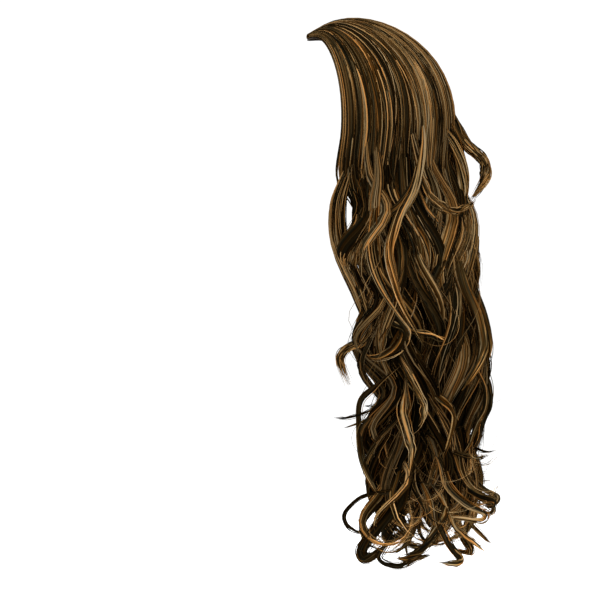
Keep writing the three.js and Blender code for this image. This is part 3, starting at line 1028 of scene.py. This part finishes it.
# Loose curls
# A few clumps stand clear of the fall: a curl at the front of each side, a flick at the back of the
# crown and a long hook over the left side. Each is a twisted clump held only by its own set.
FRONT_CURL = [
    (0.000, 0.004, 0.000), (0.020, -0.005, 0.001), (0.048, -0.014, 0.002), (0.086, -0.013, 0.003),
    (0.118, -0.004, 0.004), (0.150, 0.009, 0.005), (0.178, 0.018, 0.006), (0.194, 0.009, 0.008),
    (0.202, -0.008, 0.009), (0.216, -0.018, 0.009), (0.243, -0.010, 0.007)]
BACK_FLICK = [
    (-0.098, 0.0, -0.042), (-0.070, 0.0, -0.030), (-0.046, 0.0, -0.0195), (-0.026, 0.0, -0.008),
    (-0.0125, 0.0, 0.006), (-0.002, 0.0, 0.0165), (0.009, 0.001, 0.0185), (0.020, 0.002, 0.0145),
    (0.031, 0.003, 0.007), (0.041, 0.004, -0.001)]
SIDE_HOOK = [
    (-0.050, -0.004, -0.022), (-0.024, -0.004, -0.008), (0.000, -0.004, 0.002), (0.020, -0.002, 0.008),
    (0.038, 0.003, 0.011), (0.049, 0.015, 0.012), (0.054, 0.034, 0.008), (0.048, 0.054, 0.001),
    (0.040, 0.066, -0.005)]
# Node, turns (drop, along, out), place across the rim and round it, hand, then how many clumps lie side
# by side, how far apart, and half the width and thickness of each
LOOSE_CURLS = [
    ("left_front_curl", FRONT_CURL, 0.5, 0.021, 1, 4, 0.0036, 0.0042, 0.0038),
    ("right_front_curl", FRONT_CURL, 0.5, 0.979, -1, 4, 0.0036, 0.0042, 0.0038),
    ("back_flick", BACK_FLICK, 1.0, 0.53, 1, 4, 0.004, 0.0050, 0.0058),
    ("side_hook", SIDE_HOOK, 1.0, 0.25, 1, 2, 0.003, 0.0040, 0.0025),
]
LOOSE_CLUMPS = {
    "core": (40, 12), "steps": 40, "strands": [(10, 1.1, 0.0010, 0.0007), (8, 1.35, 0.00045, 0.00045)]}
LOOSE_SMOOTHING = 6
# How clumps lie side by side: how unevenly, how close at the ends, and where and how much they spread
BESIDE_UNEVEN = 0.2
BESIDE_ENDS = 0.45
BESIDE_SPREAD = 0.75
BESIDE_WIDEST = (0.25, 0.2)
BESIDE_RIPPLE = 0.35
BESIDE_BENDS = (1.0, 2.5)
BESIDE_PHASE = 6
CURL_TONE = 0.35
CURL_TAPER = 0.78
# Brightness at shares of the length: painted shade at the roots, where they are buried in the fall, and
# lighter towards the tips
CURL_BRIGHTNESS = [(0, 0.5), (0.3, 0.80), (0.7, 0.90), (1, 1.5)]
CURL_STRIPES = 420
CURL_LIGHTER = 0.02


def spline(points, steps):
    """Smooth line through a few points."""
    points = np.asarray(points, float)
    ends = np.concatenate([[2 * points[0] - points[1]], points, [2 * points[-1] - points[-2]]])
    at = np.linspace(0, len(points) - 1, steps)
    low = np.minimum(at.astype(int), len(points) - 2)
    t = (at - low)[:, None]
    a, b, c, d = (ends[low + k] for k in range(4))
    return b + 0.5 * t * (c - a + t * (2 * a - 5 * b + 4 * c - d + t * (3 * (b - c) + d - a)))


def side_by_side(guide, along, clumps, apart):
    """Lines of clumps that lie side by side: widest a quarter of the way down, and close at both ends."""
    share = np.linspace(0, 1, GUIDE_STEPS)[None, :, None]
    place = (np.arange(clumps) - (clumps - 1) / 2)[:, None, None]
    place = place + random.normal(0, BESIDE_UNEVEN, (clumps, 1, 1))
    widest, width = BESIDE_WIDEST
    spread = BESIDE_ENDS + BESIDE_SPREAD * np.exp(-((share - widest) / width) ** 2)
    bends = share * between(*BESIDE_BENDS, clumps, 1, 1)
    ripple = BESIDE_RIPPLE * apart * np.sin(2 * np.pi * bends + BESIDE_PHASE * place)
    sideways = along[None, None] * apart * place * spread
    return guide[None] + sideways + level_out(along)[None, None] * ripple


curl_finish = hair_finish("curl_strands", CURL_STRIPES, CURL_LIGHTER, CURL_BRIGHTNESS)
for node, turns, place, around, hand, clumps, apart, half_wide, half_thick in LOOSE_CURLS:
    drop, along_by, out_by = spline(turns, GUIDE_STEPS).T
    level = np.full((1, GUIDE_STEPS), place)
    fan = fan_at(place, np.array([around]))
    fall, along = hair_path(fan, level, np.maximum(drop, 0)[None], 0 * level, 0 * level)
    guide = fall[0] + np.outer(np.minimum(drop, 0), (0, 0, -1))
    guide = guide + hand * np.outer(along_by, along[0]) + np.outer(out_by, level_out(along)[0])
    guides = smooth_path(side_by_side(guide, along[0], clumps, apart), LOOSE_SMOOTHING)
    form = clump_form(guides, np.repeat(along, clumps, axis=0), half_wide, half_thick, CURL_TAPER)
    form["tone"] = np.sort(mix(CURL_TONE, 1, form["tone"]), axis=0)[::-1]
    add_hair(f"{node}_strands", clump_bundles(form, LOOSE_CLUMPS), curl_finish, node)

# Side curls
# Over both sides of the fall lie shorter curls that turn out of its outline: S-curls at the front, loops
# at the back, and open hooks and ringlets along the bottom. Their roots are buried in the fall.
# Half width of the clump, its tone from dark to light, then its way down: to the side, back, and height
SIDE_CURLS = {
    "front_s": (0.0060, 0.70, [
        (0.094, 0.045, -0.208), (0.097, 0.045, -0.255), (0.099, 0.055, -0.290), (0.094, 0.074, -0.324),
        (0.093, 0.078, -0.337), (0.096, 0.068, -0.352), (0.099, 0.050, -0.361), (0.098, 0.034, -0.362)]),
    "bright_s": (0.0050, 1.00, [
        (0.061, 0.093, -0.118), (0.073, 0.093, -0.142), (0.085, 0.087, -0.179), (0.091, 0.073, -0.206),
        (0.095, 0.065, -0.229), (0.100, 0.062, -0.252), (0.100, 0.068, -0.280), (0.098, 0.075, -0.304),
        (0.090, 0.087, -0.330), (0.082, 0.098, -0.352)]),
    "front_crossing": (0.0050, 0.55, [
        (0.071, 0.089, -0.147), (0.074, 0.086, -0.169), (0.088, 0.070, -0.197), (0.094, 0.048, -0.214),
        (0.094, 0.033, -0.221)]),
    "back_crossing": (0.0050, 0.90, [
        (0.074, 0.086, -0.180), (0.070, 0.096, -0.200), (0.057, 0.110, -0.216), (0.040, 0.124, -0.230),
        (0.032, 0.133, -0.246), (0.034, 0.136, -0.262)]),
    "back_bulge": (0.0070, 0.85, [
        (0.046, 0.122, -0.242), (0.040, 0.130, -0.270), (0.034, 0.137, -0.290), (0.028, 0.148, -0.315),
        (0.026, 0.155, -0.343), (0.030, 0.154, -0.362), (0.038, 0.144, -0.384), (0.052, 0.124, -0.413)]),
    "back_loop": (0.0060, 0.65, [
        (0.034, 0.136, -0.360), (0.026, 0.146, -0.380), (0.022, 0.155, -0.399), (0.022, 0.155, -0.421),
        (0.026, 0.147, -0.438), (0.032, 0.140, -0.460), (0.042, 0.129, -0.478)]),
    "level_wisp": (0.0026, 0.40, [
        (0.097, 0.066, -0.324), (0.091, 0.082, -0.332), (0.075, 0.107, -0.339), (0.056, 0.126, -0.348)]),
    "back_hook": (0.0040, 0.65, [
        (0.052, 0.122, -0.460), (0.042, 0.131, -0.491), (0.034, 0.140, -0.508), (0.026, 0.153, -0.517),
        (0.020, 0.166, -0.523), (0.020, 0.163, -0.530), (0.026, 0.153, -0.526)]),
    "back_ringlet": (0.0036, 1.00, [
        (0.063, 0.112, -0.477), (0.055, 0.119, -0.505), (0.042, 0.138, -0.525), (0.034, 0.157, -0.536),
        (0.036, 0.153, -0.543), (0.048, 0.131, -0.539), (0.066, 0.099, -0.536)]),
    "back_tail": (0.0034, 0.80, [
        (0.062, 0.113, -0.516), (0.050, 0.127, -0.550), (0.038, 0.145, -0.567), (0.030, 0.159, -0.579)]),
    "back_wisp": (0.0016, 0.20, [
        (0.074, 0.107, -0.449), (0.059, 0.121, -0.463), (0.046, 0.135, -0.470), (0.034, 0.151, -0.474),
        (0.028, 0.165, -0.470)]),
    "front_ring": (0.0022, 0.15, [
        (0.089, 0.076, -0.503), (0.093, 0.055, -0.508), (0.088, 0.030, -0.514), (0.087, 0.014, -0.528),
        (0.086, 0.010, -0.539), (0.085, 0.018, -0.550), (0.085, 0.031, -0.553), (0.089, 0.050, -0.544)]),
    "front_ringlet": (0.0080, 0.40, [
        (0.088, 0.080, -0.502), (0.089, 0.072, -0.520), (0.089, 0.056, -0.538), (0.086, 0.039, -0.557),
        (0.083, 0.029, -0.573), (0.082, 0.031, -0.582), (0.084, 0.042, -0.578), (0.086, 0.060, -0.562)]),
    "bottom_loop": (0.0032, 0.55, [
        (0.088, 0.058, -0.561), (0.086, 0.048, -0.582), (0.084, 0.069, -0.590), (0.076, 0.090, -0.581),
        (0.065, 0.107, -0.578)]),
    "bottom_sweep": (0.0050, 0.75, [
        (0.062, 0.116, -0.528), (0.067, 0.108, -0.550), (0.074, 0.095, -0.570), (0.081, 0.080, -0.581),
        (0.085, 0.063, -0.581)]),
    "bottom_hook": (0.0050, 0.65, [
        (0.075, 0.101, -0.516), (0.067, 0.108, -0.544), (0.054, 0.120, -0.567), (0.042, 0.132, -0.585),
        (0.050, 0.125, -0.590), (0.066, 0.105, -0.586)]),
    "front_wisp": (0.0015, 0.15, [
        (0.100, 0.055, -0.410), (0.098, 0.037, -0.421), (0.095, 0.014, -0.428), (0.094, -0.001, -0.428)]),
    "low_front_wisp": (0.0010, 0.50, [
        (0.099, 0.045, -0.424), (0.094, 0.029, -0.433), (0.093, 0.009, -0.440)]),
    "front_bow": (0.0042, 0.30, [
        (0.100, 0.046, -0.393), (0.096, 0.029, -0.410), (0.093, 0.027, -0.438), (0.090, 0.030, -0.472),
        (0.092, 0.042, -0.500), (0.092, 0.053, -0.516)]),
    # The bright wave, band and back wave are given the lightest tone as painted highlights on the bends of
    # the waves
    "bright_wave": (0.0034, 1.00, [
        (0.100, 0.082, -0.377), (0.099, 0.088, -0.389), (0.096, 0.096, -0.405), (0.094, 0.099, -0.413),
        (0.094, 0.098, -0.426), (0.094, 0.093, -0.438)]),
    "bright_band": (0.0034, 1.05, [
        (0.102, 0.079, -0.405), (0.105, 0.078, -0.421), (0.104, 0.082, -0.438), (0.103, 0.085, -0.451),
        (0.101, 0.087, -0.464), (0.096, 0.082, -0.494)]),
    "bright_back_wave": (0.0030, 1.00, [
        (0.079, 0.114, -0.405), (0.068, 0.124, -0.416), (0.064, 0.128, -0.429), (0.067, 0.124, -0.449),
        (0.074, 0.115, -0.477)]),
    "back_swell": (0.0105, 0.75, [
        (0.011, 0.103, -0.093), (0.011, 0.111, -0.111), (0.011, 0.119, -0.127), (0.011, 0.124, -0.142),
        (0.011, 0.128, -0.160), (0.011, 0.129, -0.176), (0.011, 0.127, -0.192), (0.011, 0.121, -0.207)]),
}
CURL_STEPS = 32
CURL_SMOOTHING = 5
CURL_RIPPLE = 0.0006
CURL_FLATNESS = 0.75
CURL_BAND_HALF = (0.0009, 0.0006)
CURL_FINE_HALF = (0.00045, 0.00045)
CURL_FINE_SPREAD = 1.25
THICK_CURL = 0.0040
# Whether thick, sides of the core, bands and fine hairs on it, spread and twist, lead and sink of the root
CURL_KINDS = [(True, 12, 6, 5, 1.15, 1.0, 0.035, 0.022), (False, 8, 3, 4, 1.7, 0.3, 0.022, 0.014)]


def curl_guide(route, hand, lead, sink):
    """Middle line of a side curl, with its root led back into the fall, and its level way along the fall."""
    route = np.array(route) * (hand, 1, 1)
    outward = unit((route[0] - (0, FALL_CENTRE_Y, 0)) * (1, 1, 0))
    root = route[0] - lead * unit(route[1] - route[0]) - sink * outward
    return spline(np.vstack([root, route]), GUIDE_STEPS), np.array([-outward[1], outward[0], 0])


for side, hand in (("left", 1), ("right", -1)):
    bundles = []
    for thick, sides, bands, fine, spread, twist, lead, sink in CURL_KINDS:
        curls = [curl for curl in SIDE_CURLS.values() if (curl[0] >= THICK_CURL) == thick]
        lines = [curl_guide(route, hand, lead, sink) for _, _, route in curls]
        guides, along = (np.array(part) for part in zip(*lines))
        half_wide = np.array([[wide] for wide, _, _ in curls])
        guides = smooth_path(guides, CURL_SMOOTHING)
        form = clump_form(guides, along, half_wide, CURL_FLATNESS * half_wide, CURL_TAPER)
        form["twist"] = twist * form["twist"]
        form["ripple"] = CURL_RIPPLE
        form["tone"] = np.array([[tone] for _, tone, _ in curls])
        strands = [(bands, spread, *CURL_BAND_HALF), (fine, CURL_FINE_SPREAD * spread, *CURL_FINE_HALF)]
        kind = {"core": (CURL_STEPS, sides), "steps": CURL_STEPS, "strands": strands}
        bundles.extend(clump_bundles(form, kind))
    add_hair(f"{side}_side_curls", bundles, curl_finish)

# Stray hairs
# Single hairs that have worked loose stand a little off the fall all round. Their roots are held with the
# rest, and each bows out on its own between there and its tip.
STRAY_COUNT = 90
STRAY_STEPS = 44
STRAY_ENDS = (0.03, 0.97)
STRAY_DEPTHS = (0.6, 0.9)
STRAY_LENGTHS = (0.20, 0.43)
STRAY_STARTS = (0.2, 0.6)
STRAY_BOWS = (-0.004, 0.009)
STRAY_HALF = 0.0003
STRAY_SIZES = (0.8, 1.3)
STRAY_THINNING = 0.7
stray_around = random.random(STRAY_COUNT)
stray_guides, stray_along = hanging_guides(
    fan_at(OUTER_LOCKS["place"], mix(*STRAY_ENDS, stray_around)), stray_around,
    between(*STRAY_DEPTHS, STRAY_COUNT), between(*STRAY_LENGTHS, STRAY_COUNT),
    between(0, 2 * np.pi, STRAY_COUNT))
stray_step = np.linspace(0, 1, STRAY_STEPS)[None, :]
stray_share = mix(between(*STRAY_STARTS, STRAY_COUNT, 1), 1, stray_step)
stray_path = at_share(stray_guides, np.arange(STRAY_COUNT), stray_share)
stray_bow = between(*STRAY_BOWS, STRAY_COUNT, 1) * np.sin(np.pi * stray_step)
stray_path = stray_path + level_out(stray_along)[:, None] * stray_bow[..., None]
stray_size = STRAY_HALF * between(*STRAY_SIZES, STRAY_COUNT, 1) * (1 - STRAY_THINNING * stray_step ** 2)
strays = {
    "path": stray_path, "flat": stray_along[:, None] + 0 * stray_path, "sides": STRAND_SIDES,
    "wide": stray_size, "thick": stray_size, "tone": random.random((STRAY_COUNT, 1))}
add_hair("stray_hairs", [strays], lock_finish)

# Studio
# A pale floor and a white surround, soft light from both sides and above, and a camera to the left of
# the wig and a little behind it.
FLOOR_Z = -0.72
FLOOR_RADIUS = 14
FLOOR_CORNERS = 96
FLOOR_COLOUR = (0.98, 0.98, 0.975, 1)
FLOOR_ROUGHNESS = 0.9
FLOOR_SPECULAR = 0.5
SURROUND = {"Color": (1, 1, 1, 1), "Strength": 1.0}
WIG_MIDDLE = Vector((0, 0.05, -0.25))
# Softboxes: azimuth and elevation round the wig in degrees, distance, size and power
SOFTBOXES = [(150, 48, 1.8, 0.9, 38), (60, 30, 2.0, 1.0, 26), (285, 40, 2.0, 1.0, 22)]
CAMERA_AZIMUTH = 101
CAMERA_ELEVATION = 2
CAMERA_DISTANCE = 3.0
VIEW_WIDTH = 0.672
VIEW_MIDDLE = (-0.055, -0.303)
EXPOSURE = 0.12


def way_out(azimuth, elevation):
    """The way from the wig to a light or camera that stands at these angles, in degrees."""
    a, e = np.radians(azimuth), np.radians(elevation)
    return Vector((np.sin(a) * np.cos(e), -np.cos(a) * np.cos(e), np.sin(e)))


def turn_to(thing, way):
    """Turns a light or camera to look along a way."""
    thing.rotation_mode = "QUATERNION"
    thing.rotation_quaternion = way.to_track_quat("-Z", "Y")


bpy.ops.object.select_all(action="DESELECT")
bpy.ops.mesh.primitive_circle_add(
    vertices=FLOOR_CORNERS, radius=FLOOR_RADIUS, fill_type="NGON", location=(0, 0, FLOOR_Z))
floor = bpy.context.object
floor.name = "floor"
floor_finish = Finish("pale_floor", FLOOR_SPECULAR)
floor_finish.fill(floor_finish.shader, {"Base Color": FLOOR_COLOUR, "Roughness": FLOOR_ROUGHNESS})
floor.data.materials.append(floor_finish.material)

world = bpy.data.worlds.new("studio")
bpy.context.scene.world = world
world.use_nodes = True
for socket, value in SURROUND.items():
    world.node_tree.nodes["Background"].inputs[socket].default_value = value

for azimuth, elevation, distance, size, power in SOFTBOXES:
    back = way_out(azimuth, elevation)
    bpy.ops.object.light_add(type="AREA", location=WIG_MIDDLE + back * distance)
    softbox = bpy.context.object
    softbox.data.size = size
    softbox.data.energy = power
    turn_to(softbox, -back)

back = way_out(CAMERA_AZIMUTH, CAMERA_ELEVATION)
right = way_out(CAMERA_AZIMUTH + 90, 0)
aim = right * VIEW_MIDDLE[0] + Vector((0, 0, VIEW_MIDDLE[1]))
bpy.ops.object.camera_add(location=aim + back * CAMERA_DISTANCE)
camera = bpy.context.object
turn_to(camera, -back)
camera.data.lens = camera.data.sensor_width * CAMERA_DISTANCE / VIEW_WIDTH
bpy.context.scene.camera = camera
bpy.context.scene.view_settings.view_transform = "Standard"
bpy.context.scene.view_settings.exposure = EXPOSURE
